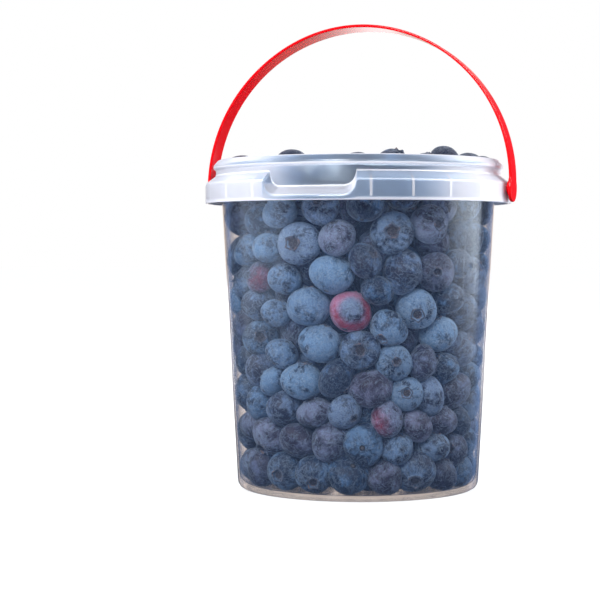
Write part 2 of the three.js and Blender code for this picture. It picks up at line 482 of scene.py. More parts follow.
# %% The notch
NOTCH_TOP_ANGLE = 17.5
NOTCH_FLOOR_ANGLE = 12.5
NOTCH_LOW, NOTCH_HIGH = 118.3 * MM, 129 * MM
COLUMN = 0.5


def in_column(place, away):
    """True for a point of the shoulder that is this many degrees away from the notch's middle."""
    degrees = abs(np.degrees(np.arctan2(place.x, -place.y)))
    return NOTCH_LOW < place.z < NOTCH_HIGH and abs(degrees - away) < COLUMN / 4


edit(pail)
for column in range(int(NOTCH_TOP_ANGLE / COLUMN)):
    away = column * COLUMN
    share = min(1, (NOTCH_TOP_ANGLE - away) / (NOTCH_TOP_ANGLE - NOTCH_FLOOR_ANGLE))
    drop = NOTCH_DEPTH * MM * sqrt(1 - (1 - share) ** 2)
    pick(pail, lambda place: in_column(place, away))
    bpy.ops.transform.translate(value=(0, 0, -drop))
start(pail)

# %% [markdown]
# Thin upright webs stiffen the skirt, in the hollow between it and the wall. They show through
# the skirt as pale lines. Near the handle's pins the webs stop, and a small V of two leaning
# webs stands to each side. All are cubes cut to the hollow's shape, and a boolean joins them on.

# %% Webs, pin holes and V gussets
WEB_PITCH = 15
WEB_THICKNESS = 1.1
WEB_BOTTOM = 117.3
WEB_BITE = 0.3
PIVOT_CLEAR = 10
NOTCH_CLEAR = 18
GUSSET_AWAY = 12
GUSSET_HALF = 0.65
GUSSET_LEAN = 1.4
PIN_HOLE = 2.05
DRILL_MIDDLE, DRILL_LENGTH = 62.2, 8
PIVOT_HEIGHT = 121.8


def plate(around, lean=0):
    """A web at an angle from the notch, its top leaning sideways by some degrees of turn."""
    inner, outer = wall_outside(WEB_BOTTOM) - WEB_BITE, SKIRT_RADIUS - WALL + WEB_BITE
    start()
    bpy.ops.mesh.primitive_cube_add(size=MM)
    web = bpy.context.object
    edit(web)
    corners = bmesh.from_edit_mesh(web.data)
    for corner in corners.verts:
        radius = outer if corner.co.x > 0 else inner
        top = (under_shoulder(outer) if corner.co.x > 0 else HOLLOW_TOP) + WEB_BITE
        height = top if corner.co.z > 0 else WEB_BOTTOM
        side = WEB_THICKNESS / 2 if corner.co.y > 0 else -WEB_THICKNESS / 2
        turn = radians(around + (lean if corner.co.z > 0 else 0)) - pi / 2
        corner.co = Vector((radius * cos(turn) - side * sin(turn),
                            radius * sin(turn) + side * cos(turn), height)) * MM
    bmesh.update_edit_mesh(web.data)
    start(web)
    return web


webs = []
for place in range(int(360 / WEB_PITCH)):
    angle = WEB_PITCH * (place + 0.5)
    from_notch = min(angle, 360 - angle)
    from_pivot = abs(90 - angle % 180)
    if from_notch > NOTCH_CLEAR and from_pivot > PIVOT_CLEAR:
        webs.append(plate(angle))
for pivot in (90, 270):
    for away in (-GUSSET_AWAY, GUSSET_AWAY):
        for side in (-1, 1):
            webs.append(plate(pivot + away + side * GUSSET_HALF, side * GUSSET_LEAN))
ribs = join(webs, "webs")
close_up(ribs)
combine(pail, "UNION", ribs)
for side in (1, -1):
    combine(pail, "DIFFERENCE", bar(PIN_HOLE, DRILL_MIDDLE, DRILL_LENGTH, side, PIVOT_HEIGHT, 32))
shade_smooth(pail)
report(pail)

# %% [markdown]
# ## Clear plastic
#
# Polypropylene this thin lets most light straight through. The wall is nearly clear: a low Alpha
# leaves a trace of bluish haze, and a mirror shader is mixed in by how edge-on the surface is
# seen, which a Layer Weight gives. Noise stretched upright bends the mirror a little, as the marks
# of the moulding do. Transmission would be truer there, but it makes what is behind dark and noisy.
#
# The skirt, neck and lip are frosted, so what lies behind them is only a soft tint. There a
# Principled shader with Transmission bends and blurs the light, Roughness is the blur, and a
# smooth coat keeps the gloss sharp. A share of plain milky plastic is mixed in. It is small where
# the skirt faces the eye. It rises towards the pail's sides, on the webs, in the notch and along
# the marked corners, because light gathers there, and on those the blue tint fades to white.
# Along the corners this is a painted highlight: the extra milk and white paint pale lines of light.

# %% Where the webs show
WEB_EDGE, WEB_CORE = 0.038, 0.026


def web_lines(across, along, height):
    """1 where a web stands behind the skirt, 0 elsewhere. Edge and core are shares of the pitch."""
    turn = along.maths("ARCTAN2", along, across) * (1 / radians(WEB_PITCH)) + 0.5
    from_web = turn.maths("PINGPONG", turn, 0.5)
    beside_notch = abs(across) * (1 / tan(radians(NOTCH_CLEAR))) + along
    above_gap = height.step(WEB_BOTTOM * MM, (WEB_BOTTOM + 0.3) * MM)
    under_neck = height.step(SHOULDER_HIGH * MM, SHOULDER_LOW * MM)
    return from_web.step(WEB_EDGE, WEB_CORE) * beside_notch.step(0, MM) * above_gap * under_neck


# %% The pail's material
FROSTED_RADIUS = 58.8 * MM
FROSTED_HEIGHT = 120.5 * MM
FLOW_STRETCH = (260, 260, 12)
HAZE_BLUE = (0.30, 0.50, 0.95, 1)
FROST_BLUE, FROST_WHITE = (0.70, 0.84, 1.0, 1), (0.82, 0.84, 0.92, 1)
MILK_BLUE, MILK_WHITE = (0.56, 0.74, 1.0, 1), (0.80, 0.81, 0.87, 1)


def clear_plastic():
    material, wire = new_material("clear_plastic")
    place = wire.node("TexCoord", output=3)
    across, along, height = place.parts()
    radius = wire.maths("SQRT", across * across + along * along)
    in_skirt = radius.step(FROSTED_RADIUS - 0.2 * MM, FROSTED_RADIUS)
    frosted = in_skirt.most(height.step(FROSTED_HEIGHT - 0.5 * MM, FROSTED_HEIGHT))
    flow = wire.node("Mapping", inputs={"Vector": place, "Scale": FLOW_STRETCH}).noise(1, 3)
    edge_on = wire.node("LayerWeight", inputs={"Blend": 0.5}, output=1)
    haze = wire.node("BsdfPrincipled", inputs={
        "Base Color": HAZE_BLUE, "Roughness": 0.3, "IOR": 1.02,
        "Alpha": 0.012 + 0.03 * flow + 0.25 * edge_on.step(0.6, 0.85) * flow.step(0.4, 0.6),
    })
    mirror = wire.node("BsdfGlossy", inputs={
        "Color": (1, 1, 1, 1), "Roughness": 0.1, "Normal": flow.bump(0.3, 0.3),
    })
    mirror_share = 0.04 + 0.96 * edge_on.maths("POWER", edge_on, 5)
    wall = wire.node("MixShader", inputs={0: mirror_share, 1: haze, 2: mirror})

    corner, tilt = wire.number("corner"), wire.number("tilt")
    on_web = web_lines(across, along, height) * in_skirt
    at_side = (edge_on - tilt).step(0.03, 0.28)
    in_neck = height.step(SHOULDER_HIGH * MM, (SHOULDER_HIGH + 1) * MM)
    sunken = height.step((SHOULDER_LOW - 0.5) * MM, (SHOULDER_LOW - 2) * MM)
    in_notch = tilt.step(0.05, 0.25) * sunken
    # The corners' glow is a painted highlight: extra milk and a whiter tint there paint pale lines
    # of light.
    glow = corner * corner.step(0.8, 0.95)
    milkiness = 0.02 + 0.04 * flow + 0.46 * at_side + 0.35 * on_web + 0.45 * glow
    milkiness += 0.25 * in_notch + (0.1 + 0.1 * in_neck) * edge_on
    milkiness += 0.14 * in_skirt * tilt.step(0.2, 0.1)
    whiter = at_side + glow + on_web + in_notch
    frost = wire.node("BsdfPrincipled", inputs={
        "Base Color": whiter.mix(FROST_BLUE, FROST_WHITE), "Roughness": 0.34 + 0.1 * flow,
        "IOR": 1.49, "Transmission Weight": 1.0, "Coat Weight": 0.6, "Coat Roughness": 0.05,
    })
    milk = wire.node("BsdfPrincipled", inputs={
        "Base Color": whiter.mix(MILK_BLUE, MILK_WHITE), "Roughness": 0.3,
    })
    top = wire.node("MixShader", inputs={0: milkiness, 1: frost, 2: milk})
    show(material, wire.node("MixShader", inputs={0: frosted, 1: wall, 2: top}))
    return material


dress(pail, clear_plastic())
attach(pail, "tub")
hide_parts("pail")

# %% [markdown]
# ## The handle
#
# The bail is a flexible strip, wider at the top where it is held, with a round eye at each end.
# A collar and a pin on each eye sit in the skirt's holes. The strip's section is extruded up from
# one pivot, spun over the top and extruded down again, then the eyes are added. A bevelled curve
# with a taper would make an arch too, but its thickness would change along with its width.

# %% Sizes of the handle
HANDLE_RADIUS = 64.6
HANDLE_THICKNESS = 1.2
HANDLE_WIDTH = 9
GRIP_WIDTH = 12
GRIP_HALF_ANGLE = 45
LEG_LENGTH = 2
HANDLE_LEAN = radians(3)
EYE_RADIUS = 5.6
COLLAR_RADIUS = 3
COLLAR_REACH = 62.8
PIN_RADIUS = 1.75
PIN_REACH = 59.2
HANDLE_STEPS = 90
EDGE_ROUNDING = 0.4
ROD_ROUNDING = 0.35
EYE_PROUD, EYE_SHY = 0.15, 0.05
print("the strip is", HANDLE_WIDTH, "mm wide, and", GRIP_WIDTH, "mm at the top")


def smooth(share):
    share = min(1, max(0, share))
    return share * share * (3 - 2 * share)


# %% The strip
start()
bpy.ops.mesh.primitive_plane_add(size=1)
handle = bpy.context.object
handle.name = handle.data.name = "bail_handle"
handle.scale = (HANDLE_THICKNESS * MM, HANDLE_WIDTH * MM, 1)
handle.location = (HANDLE_RADIUS * MM, 0, 0)
settle(handle)
edit(handle)
bpy.ops.mesh.select_all(action="SELECT")
bpy.ops.mesh.extrude_region_move(TRANSFORM_OT_translate={"value": (0, 0, LEG_LENGTH * MM)})
bpy.ops.mesh.spin(steps=HANDLE_STEPS, angle=pi, center=(0, 0, LEG_LENGTH * MM), axis=(0, 1, 0))
bpy.ops.mesh.extrude_region_move(TRANSFORM_OT_translate={"value": (0, 0, -LEG_LENGTH * MM)})
start(handle)
for point in handle.data.vertices:
    from_top = np.degrees(np.arctan2(abs(point.co.x), point.co.z - LEG_LENGTH * MM))
    share = 1 - smooth(from_top / GRIP_HALF_ANGLE)
    point.co.y *= 1 + share * (GRIP_WIDTH / HANDLE_WIDTH - 1)
close_up(handle)
round_edges(handle, EDGE_ROUNDING)
report(handle)

# %% Eyes, collars and pins
inner, outer = HANDLE_RADIUS - HANDLE_THICKNESS / 2, HANDLE_RADIUS + HANDLE_THICKNESS / 2
for side in (1, -1):
    for radius, near, far in (
        (EYE_RADIUS, inner - EYE_PROUD, outer - EYE_SHY),
        (COLLAR_RADIUS, COLLAR_REACH, HANDLE_RADIUS),
        (PIN_RADIUS, PIN_REACH, HANDLE_RADIUS),
    ):
        rod = bar(radius, (near + far) / 2, far - near, side, 0, 48)
        round_edges(rod, ROD_ROUNDING)
        combine(handle, "UNION", rod)
lift = Matrix.Translation((0, 0, PIVOT_HEIGHT * MM))
handle.data.transform(lift @ Matrix.Rotation(-HANDLE_LEAN, 4, "X"))
shade_smooth(handle)
modify(handle, "WEIGHTED_NORMAL", keep_sharp=True)
report(handle)

# %% [markdown]
# ## Red plastic
#
# The handle's plastic is plain and glossy. A faint mottle in its colour, roughness and height
# keeps it from looking like paint. A low IOR keeps the white studio from washing the red out.

# %% The handle's material
RED, BRIGHT_RED = (0.80, 0.0, 0.004, 1), (0.88, 0.001, 0.006, 1)


def red_plastic():
    material, wire = new_material("red_plastic")
    mottle = wire.node("TexCoord", output=3).noise(60)
    show(material, wire.node("BsdfPrincipled", inputs={
        "Base Color": mottle.mix(RED, BRIGHT_RED), "Roughness": 0.14 + 0.08 * mottle,
        "IOR": 1.34, "Normal": mottle.bump(0.1, 0.3),
    }))
    return material


dress(handle, red_plastic())
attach(handle, "bail")
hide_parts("handle")

# %% [markdown]
# ## One berry
#
# A blueberry is a flattened ball. At one end is the crown, what is left of the flower: a round
# mouth with five short lobes round it. At the other end is the small scar of its stem. Each kind
# starts as a ball whose segments are a multiple of five, so that every lobe gets the same points.
# A Displace modifier with soft clouds makes it uneven. The cap is flattened and inset for the
# mouth's wall, lip and floor. The lip's points are then moved: lobes up and out, gaps inwards.
# The crown's points also get a number of their own, which tells the finish where it is dry. A
# painted crown would be lighter, but it would show as flat wherever a berry is seen side-on.

# %% Sizes of a berry
BERRY_WIDTH = 15.6
HALF = BERRY_WIDTH / 2 * MM
FINE, PLAIN = (20, 12), (10, 8)
END_WITHIN = 0.42
CROWN_WALL, CROWN_RISE = 0.45 * MM, 0.35 * MM
CROWN_LIP, LIP_RISE = 0.3 * MM, 0.05 * MM
MOUTH_WALL = 0.15 * MM
MOUTH_FLOOR, FLOOR_DISH = 0.7 * MM, 0.1 * MM
LOBE_TURN, LOBE_TIP, LOBE_END = 72, 8, 28
LOBE_GAP = 0.85
SCAR, SCAR_EDGE, SCAR_DEPTH = 0.2, 0.3 * MM, 0.25 * MM
LUMP_SIZE = 1.1
ON_CROWN, IN_MOUTH = 1, 2
print("a berry is", BERRY_WIDTH, "mm wide; its ball has", FINE, "or", PLAIN, "segments and rings")


# %% Modelling a berry
def from_axis(place):
    return hypot(place.x, place.y)


def from_lobe(place):
    """Degrees round the berry's axis from the middle of the nearest lobe. The first is at +Y."""
    degrees = np.degrees(np.arctan2(place.x, place.y)) % LOBE_TURN
    return min(degrees, LOBE_TURN - degrees)


def flat_cap(berry, height, grow, side):
    """Turns one end of the flattened ball into a disc at this height, and picks it."""
    picked = pick(berry, lambda place: side * place.z > 0 and from_axis(place) < END_WITHIN * HALF)
    bpy.ops.transform.resize(value=(grow, grow, 0), center_override=(0, 0, side * height))
    pick(berry, lambda middle: abs(side * middle.z - height) < 0.001 * MM, faces=True)
    return picked


def lump(berry, amount, number):
    """Makes the ball uneven by soft clouds. Each kind stands elsewhere in them."""
    clouds = bpy.data.textures.new("lumps", "CLOUDS")
    clouds.noise_scale = LUMP_SIZE * HALF
    clouds.noise_depth = 0
    berry.location.x = number * 3 * HALF
    modify(berry, "DISPLACE", texture=clouds, texture_coords="GLOBAL", strength=amount * HALF,
           mid_level=0.5)
    berry.location.x = 0


def berry_kind(name, number, flatness, oval, mouth, rise, spread, depth, lumps, fineness):
    """A berry of the usual width at the origin, with its crown towards +Z."""
    start()
    segments, rings = fineness
    bpy.ops.mesh.primitive_uv_sphere_add(segments=segments, ring_count=rings, radius=HALF)
    berry = bpy.context.object
    berry.name = berry.data.name = name
    lump(berry, lumps, number)
    edit(berry)
    bpy.ops.mesh.select_all(action="SELECT")
    bpy.ops.transform.resize(value=(1 + oval, 1 - oval, flatness), center_override=(0, 0, 0))
    end_width = HALF * sin(pi / rings)
    crown = flatness * HALF * sqrt(1 - mouth**2)
    picked = flat_cap(berry, crown, mouth * HALF / end_width, 1)
    bpy.ops.mesh.inset(thickness=CROWN_WALL, depth=CROWN_RISE)
    bpy.ops.mesh.inset(thickness=CROWN_LIP, depth=LIP_RISE)
    bpy.ops.mesh.inset(thickness=MOUTH_WALL, depth=-depth * MM)
    bpy.ops.mesh.inset(thickness=MOUTH_FLOOR, depth=-FLOOR_DISH)
    lip = mouth * HALF - CROWN_WALL - CROWN_LIP

    def in_mouth(place):
        return place.z > crown - 1.5 * MM and from_axis(place) < lip * 0.9

    def on_lobes(place, low=0, high=LOBE_TURN):
        on_ring = lip * 0.8 < from_axis(place) < mouth * HALF
        return place.z > crown + 0.6 * CROWN_RISE and on_ring and low <= from_lobe(place) < high

    mark(berry, "crown", IN_MOUTH, in_mouth)
    mark(berry, "crown", ON_CROWN, on_lobes)
    tips = pick(berry, lambda place: on_lobes(place, high=LOBE_TIP))
    bpy.ops.transform.resize(value=(spread, spread, 1), center_override=(0, 0, crown))
    bpy.ops.transform.translate(value=(0, 0, rise * MM))
    pick(berry, lambda place: on_lobes(place, LOBE_TIP, LOBE_END))
    bpy.ops.transform.translate(value=(0, 0, rise * 0.3 * MM))
    pick(berry, lambda place: on_lobes(place, LOBE_END))
    bpy.ops.transform.resize(value=(LOBE_GAP, LOBE_GAP, 1), center_override=(0, 0, crown))
    flat_cap(berry, flatness * HALF * sqrt(1 - SCAR**2), SCAR * HALF / end_width, -1)
    bpy.ops.mesh.inset(thickness=SCAR_EDGE, depth=-SCAR_DEPTH)
    start(berry)
    modify(berry, "SUBSURF", levels=1, render_levels=1)
    waist = [from_axis(point.co) for point in berry.data.vertices if abs(point.co.z) < 0.2 * HALF]
    berry.data.transform(Matrix.Scale(HALF / np.mean(waist), 4))
    print(name, "had", picked, "points in its cap and", tips, "at its lobes' tips")
    report(berry)
    return berry


# %% The kinds of berry
# Name, flatness, how oval, the mouth's share of the width, the lobes' rise and spread, the mouth's
# depth, lumps and fineness.
KIND_SHAPES = [
    ("open", 0.82, 0.00, 0.36, 1.0, 1.30, 0.7, 0.14, FINE),
    ("wide", 0.74, 0.03, 0.39, 0.8, 1.40, 0.8, 0.14, FINE),
    ("small", 0.86, 0.04, 0.28, 0.7, 1.10, 0.5, 0.16, FINE),
    ("shut", 0.80, 0.02, 0.31, 1.3, 0.80, 0.7, 0.16, FINE),
    ("lumpy", 0.84, 0.04, 0.34, 0.9, 1.20, 0.7, 0.28, FINE),
    ("inside", 0.82, 0.03, 0.33, 0.5, 1.10, 0.6, 0.14, PLAIN),
]
KINDS = {}
for number, (name, *shape) in enumerate(KIND_SHAPES):
    KINDS[name] = berry_kind("one_of_berries_" + name, number, *shape)

# %% [markdown]
# ## How they lie
#
# The berries that show at the front are given one by one: how far round from the notch, how high,
# how wide, and where the crown points, as right, up and towards the viewer. The others are packed
# round them as in a real pail: they start small at random places, grow, push each other apart,
# sink a little and stay inside the wall and under the heap's dome. A berry reaches further along
# its wide sides than along its axis, so the packing measures each one in the direction of its
# neighbour. A physics simulation could drop them all in, but then none could be given its place.
# A few more are set in hollows afterwards, where pale light would show from behind.

# %% Berries given one by one
# Kind, degrees round, height, width, the crown's direction, bloom from 0 to 1, and how violet.
SHOWN = [
    ("wide", -11, 98.7, 17, (-0.35, 0.05, 0.9), 0.7, 0.6),
    ("small", -30, 98, 13.5, (0.1, 1, 0.2), 0.6, 0.1),
    ("shut", -39, 83.4, 12.8, (-0.8, 0.2, 0.5), 0.15, 0.8),
    ("open", -19.5, 85.1, 14, (0.3, 0.9, -0.2), 0.45, 0.3),
    ("lumpy", 5.3, 86.7, 16.6, (0.3, 0.9, -0.3), 0.75, 0.1),
    ("open", -22, 111.6, 14, (-0.5, 0.8, -0.2), 0.75, 0.4),
    ("open", 0.8, 113.7, 15, (-0.25, 0.3, 0.9), 0.3, 0.6),
    ("small", 21.7, 113.6, 14.4, (0.2, 0.9, -0.4), 0.1, 0.3),
    ("wide", 34, 102.1, 16.6, (0, 0.12, 1), 0.55, 0.5),
    ("open", 53.6, 107.2, 15.4, (0.6, 0, 0.8), 0.6, 0.9),
    ("shut", 57, 88.6, 15.2, (0.1, 0, 1), 0.25, 0.9),
    ("small", 75, 90.4, 13, (0.3, 0.9, 0.2), 0.1, 0.1),
    ("open", -7.7, 74.3, 17.6, (0.15, 1, -0.1), 0.65, 0.3),
    ("small", 15.6, 72.5, 17.4, (0.3, 0.9, -0.3), 0.7, 0.7),
    ("open", 46.8, 72.7, 16, (0.05, -0.3, 0.9), 0.7, 0.3),
    ("lumpy", 33.9, 65.5, 14.6, (-0.4, -0.6, 0.6), 0.55, 0.2),
    ("small", 0, 59.6, 16.4, (0.3, 0.9, 0.1), 0.72, 0),
    ("open", 60, 61.5, 15.8, (-0.2, 0.9, 0.3), 0.7, 0.1),
    ("wide", 17.6, 55.9, 15.4, (0, 0.05, 1), 0.35, 0.5),
    ("shut", 33.6, 51.6, 14.4, (0.15, 0.1, 0.95), 0.6, 0.3),
    ("open", -3.1, 44.4, 16.8, (0.1, 1, 0.1), 0.75, 0),
    ("lumpy", 19.1, 41.6, 16.8, (0.15, -0.95, -0.2), 0.2, 1),
    ("open", 45.4, 38.5, 13.2, (0, 0.15, 1), 0.7, 0.3),
    ("small", -23.3, 32.6, 15.6, (0.4, 0.8, -0.3), 0.3, 0.6),
    ("wide", -1.5, 30.3, 14.4, (-0.3, 0.9, 0.3), 0.35, 0.9),
    ("small", 33, 30.2, 14, (-0.8, -0.1, -0.4), 0.45, 0.9),
    ("lumpy", 18.7, 17.6, 16.2, (0.05, 0.1, -1), 0.35, 0.1),
    ("open", -25.5, 15, 15.4, (-0.45, -0.2, 0.87), 0.3, 0.3),
    ("open", 0.9, 10.8, 15.2, (-0.05, -0.45, 0.9), 0.25, 0.3),
    ("wide", -48.2, 61, 14.4, (0, 0.1, 1), 0.4, 0),
    ("small", -42, 74.2, 14.2, (0.2, 0.9, 0.1), 0.3, 0.5),
    ("open", 70.7, 77.9, 14, (-0.2, 0.9, -0.3), 0.2, 0.2),
    ("small", -22.7, 56, 12.8, (0.5, 0.7, -0.4), 0.5, 0.3),
    ("wide", -33.9, 43.6, 13, (-0.6, 0.4, -0.2), 0.6, 0),
    ("lumpy", 71.3, 43.4, 13.2, (-0.5, 0.6, 0.5), 0.3, 0),
    ("open", 68.2, 31.2, 14, (0.1, 1, -0.1), 0.4, 0.9),
    ("small", 50.6, 26.1, 13.2, (0.6, 0.6, -0.4), 0.3, 1),
    ("lumpy", 38, 17.3, 14.2, (0.2, 0.8, 0.3), 0.4, 0.4),
    ("open", 63, 17, 14, (0.2, 0.9, 0.2), 0.65, 0.5),
    ("small", -50.4, 24.1, 14, (-0.3, 0.8, 0.3), 0.3, 0.9),
    ("small", 27.9, 82.9, 12.6, (0.3, 0.9, -0.3), 0.05, 0.2),
    ("small", -26, 71.5, 12, (0.3, 0.9, 0.2), 0.5, 0.3),
]
# Berries that touch the wall at its two outlines, as the viewer sees it: height and width of each.
OUTLINES = {
    -67.5: ((109, 16.8), (92.4, 17.2), (75.1, 18.2), (56.2, 18.6), (37.7, 18), (20.4, 17.4)),
    103.5: ((112, 13), (100.6, 11.6), (91, 12), (78.4, 13.8), (64, 14), (51.7, 14.6),
            (35.7, 15.8), (21, 14), (9, 12.6)),
}
# Berries on top of the heap: kind, degrees round, distance from the axis, height of the berry's
# top, width, and the crown's direction.
ON_TOP = [
    ("wide", -32.6, 35, 137.1, 14, (0.2, -0.9, 0.3)),
    ("open", 41.6, 35, 137.2, 15, (0.45, 0.8, 0.3)),
    ("lumpy", 68, 45, 138.1, 12.6, (-0.5, 0.1, 0.9)),
    ("small", 52.4, 46, 135.2, 13, (0.3, 0.9, 0.2)),
    ("open", 93, 45.5, 136.3, 14, (0.2, -0.9, 0.2)),
    ("small", 18, 44, 134.8, 14, (0.1, -0.9, 0.3)),
    ("open", -68.2, 47, 135.9, 14.5, (-0.3, -0.9, 0.2)),
    ("small", 108, 48, 135.6, 12, (0.3, -0.9, 0.2)),
]
# Berries that fill hollows beside the wall, just under the rim, given like those on top.
FILLERS = [
    ("lumpy", -13, 47, 131.8, 13.4, (0.4, 0.6, 0.5)),
    ("open", -31, 47, 131.6, 14.2, (-0.6, 0.7, 0.1)),
    ("wide", 33, 48, 132.2, 12.4, (0.2, 0.8, -0.5)),
    ("small", -66, 34, 131.8, 12.4, (-0.3, 0.9, 0.3)),
    ("shut", 0, 42, 132.6, 11.6, (0.7, 0.3, 0.6)),
]
OUTLINE_COUNT = sum(map(len, OUTLINES.values()))
print(len(SHOWN) + OUTLINE_COUNT + len(ON_TOP), "berries are placed by hand before the packing,",
      len(FILLERS), "after it")

# %% Directions and reach
FLATNESS = 0.82


def at(around, distance):
    """X and Y of a place this far from the pail's axis, some degrees round from the notch."""
    turn = radians(around - 90)
    return distance * cos(turn), distance * sin(turn)


def seen(direction):
    """A direction given as right, up and towards the viewer."""
    upwards = Vector((0, 0, 1)) * direction[1]
    return (RIGHT * direction[0] + upwards + FRONT * direction[2]).normalized()


def reach(half_widths, axes, directions):
    """How far each flattened ball reaches from its middle in a direction."""
    along = (axes * directions).sum(1)
    return half_widths * np.sqrt(1 - (1 - FLATNESS**2) * along**2)


def reach_of_one(width, axis, direction):
    return reach(np.array([width / 2]), np.array([axis]), np.array([direction]))[0]


upright = (0, 0, 1)
print("a berry is", round(2 * reach_of_one(BERRY_WIDTH, upright, upright), 1), "mm high")

# %% Packing the heap
BERRY_COUNT = 438
SPREAD = 0.11
WALL_GAP, FLOOR_GAP = 0.35, 0.2
HEAP_CROWN, HEAP_EDGE, EDGE_AT = 136.2, 133.0, 130
START_RADIUS, START_LOW, START_HIGH = 44, 10, 128
START_SIZE = 0.6
PACKING_STEPS, GROWING_STEPS, STEPS_A_SEARCH = 900, 500, 5
SEARCH_WIDTHS = 1.4
HAND_PLACED_GIVE, PULL_BACK = 0.15, 0.02
PUSH_SHARE = 0.7
SINK = 0.12
NEARLY_NOTHING = 1e-6
rng = np.random.default_rng(11)


def hand_placed():
    """Middles, half widths and axes of the berries whose places are listed."""
    at_outlines = [(None, around, height, width, (1 if around < 0 else -1, 0.2 * sin(height), 0.2))
                   for around, column in OUTLINES.items() for height, width in column]
    rows = []
    for _, around, height, width, crown, *looks in SHOWN + at_outlines:
        axis = seen(crown)
        depth = reach_of_one(width, axis, (*at(around, 1), 0))
        distance = wall_inside(height) - WALL_GAP - depth
        rows.append(((*at(around, distance), height), width / 2, axis))
    for _, around, distance, top, width, crown in ON_TOP:
        axis = seen(crown)
        rise = reach_of_one(width, axis, (0, 0, 1))
        rows.append(((*at(around, distance), top - rise), width / 2, axis))
    return [np.array(column) for column in zip(*rows)]


def keep_inside(middles, halves, axes, fixed):
    """Pushes berries back inside the wall and above the floor, and the free ones under the dome."""
    flat = middles * (1, 1, 0)
    distance = np.linalg.norm(flat, axis=1)
    outwards = flat / np.maximum(distance, NEARLY_NOTHING)[:, None]
    most = wall_inside(middles[:, 2]) - WALL_GAP - reach(halves, axes, outwards)
    over = np.maximum(distance - most, 0)
    middles -= outwards * over[:, None]
    rise = reach(halves, axes, np.tile((0, 0, 1.0), (len(middles), 1)))
    share = np.clip(distance / wall_inside(EDGE_AT), 0, 1)
    dome = HEAP_CROWN + (HEAP_EDGE - HEAP_CROWN) * share
    dome[:fixed] = PAIL_HEIGHT + HEAP_CROWN
    middles[:, 2] = np.clip(middles[:, 2], FLOOR + FLOOR_GAP + rise, dome - rise)


def packed():
    """Middles, half widths and axes of all berries, the listed ones first."""
    placed, placed_halves, placed_axes = hand_placed()
    fixed = len(placed)
    free = BERRY_COUNT - fixed
    turn = rng.uniform(0, 2 * pi, free)
    distance = START_RADIUS * np.sqrt(rng.uniform(0, 1, free))
    height = rng.uniform(START_LOW, START_HIGH, free)
    middles = np.column_stack([distance * np.cos(turn), distance * np.sin(turn), height])
    middles = np.vstack([placed, middles])
    halves = BERRY_WIDTH / 2 * (1 + SPREAD * rng.uniform(-1, 1, BERRY_COUNT))
    halves[:fixed] = placed_halves
    axes = rng.normal(size=(BERRY_COUNT, 3))
    axes /= np.linalg.norm(axes, axis=1)[:, None]
    axes[:fixed] = placed_axes
    mobile = np.ones(BERRY_COUNT)
    mobile[:fixed] = HAND_PLACED_GIVE
    for step in range(PACKING_STEPS):
        grown = min(1, START_SIZE + (1 - START_SIZE) * step / GROWING_STEPS)
        if step % STEPS_A_SEARCH == 0:
            apart = np.linalg.norm(middles[:, None] - middles[None], axis=2)
            first, second = np.nonzero(np.triu(apart < SEARCH_WIDTHS * BERRY_WIDTH, 1))
        between = middles[first] - middles[second]
        distance = np.linalg.norm(between, axis=1)
        direction = between / np.maximum(distance, NEARLY_NOTHING)[:, None]
        need = grown * (reach(halves[first], axes[first], direction)
                        + reach(halves[second], axes[second], direction))
        push = np.maximum(need - distance, 0)
        push = push / np.maximum(mobile[first] + mobile[second], 1) * PUSH_SHARE
        move = np.zeros_like(middles)
        np.add.at(move, first, direction * (push * mobile[first])[:, None])
        np.add.at(move, second, -direction * (push * mobile[second])[:, None])
        move[:, 2] -= SINK * mobile * (1 - step / PACKING_STEPS)
        middles += move
        middles[:fixed] += (placed - middles[:fixed]) * PULL_BACK
        keep_inside(middles, halves, axes, fixed)
    overlap = need - distance
    for index in range(fixed - len(ON_TOP), fixed):
        deepest = overlap[(first == index) | (second == index)].max()
        print(f"a berry on top overlaps its nearest neighbour by {deepest:.2f} mm")
    print(f"deepest overlap {overlap.max():.2f} mm; mean {push.mean():.3f} mm")
    return middles, halves, axes


middles, halves, axes = packed()

# %% [markdown]
# Only the berries near the wall and near the top can be seen. The rest are left out, and a dark
# core stands for them. Each berry that shows is a copy of one of the kinds, with a mesh of its
# own, turned so that its crown points along its axis. Those that no longer touch the wall or the
# air are copies of a plainer kind. Every copy carries its own coordinates and three numbers, which
# its finish reads: how ripe it is, how much bloom it has and a random shade. The berries on top
# have little bloom left.

# %% One copy of a berry
NEAR_WALL = 1.2
TOUCH_GAP = 0.08
# Amount, the direction that the unripe side faces, and where it starts and is full.
RIPE = (0, (0, 0, 1), 0, 1)


def places_of(mesh):
    """The places of a mesh's points, in millimetres."""
    places = np.empty(len(mesh.vertices) * 3, np.float32)
    mesh.vertices.foreach_get("co", places)
    return places.reshape(-1, 3) / MM


def write(mesh, name, value):
    """Writes a number on each point of the mesh."""
    attribute = mesh.attributes.new(name, "FLOAT", "POINT")
    values = np.broadcast_to(np.float32(value), len(mesh.vertices))
    attribute.data.foreach_set("value", values.copy())


def to_wall(mesh, middle):
    """Moves a berry that lies near the wall, so that it just touches it."""
    places = places_of(mesh)
    beyond = (np.hypot(places[:, 0], places[:, 1]) - wall_inside(places[:, 2])).max()
    if beyond > -NEAR_WALL:
        outwards = Vector((middle[0], middle[1], 0)).normalized()
        mesh.transform(Matrix.Translation(-outwards * (beyond + TOUCH_GAP) * MM))


def to_height(mesh, top):
    """Raises or lowers a berry so that its highest point is at this height."""
    mesh.transform(Matrix.Translation((0, 0, (top - places_of(mesh)[:, 2].max()) * MM)))


